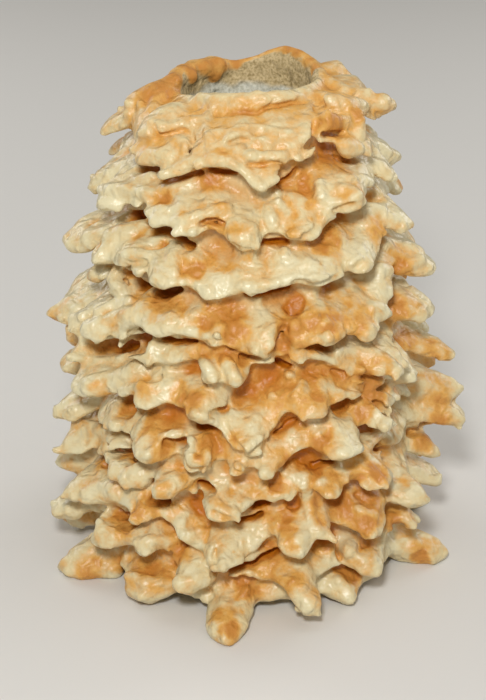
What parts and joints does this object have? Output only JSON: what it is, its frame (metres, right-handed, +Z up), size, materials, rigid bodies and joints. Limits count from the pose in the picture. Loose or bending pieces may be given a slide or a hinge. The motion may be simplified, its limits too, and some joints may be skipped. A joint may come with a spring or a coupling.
{
  "type": "spit cake",
  "caption": "Tall hollow cake baked in coats on a turning spit: a tapering core with rows of drooping, blunt batter drips round it and an open hole from rim to foot.",
  "frame": {"origin": "on the table, under the middle of the cake's outline; the spit's hole stands 7 mm towards -X and 5 mm towards +Y of it", "axes": "+Z up along the spit's hole; -Y towards the camera of the picture, +X to its right"},
  "size_m": [0.3016, 0.3148, 0.365],
  "materials": {
    "baked_batter": "egg batter baked to a satin gloss, cream at the tips and toasted amber in patches"
  },
  "bodies": {
    "root": {"spit_cake": "baked_batter"}
  },
  "joints": []
}
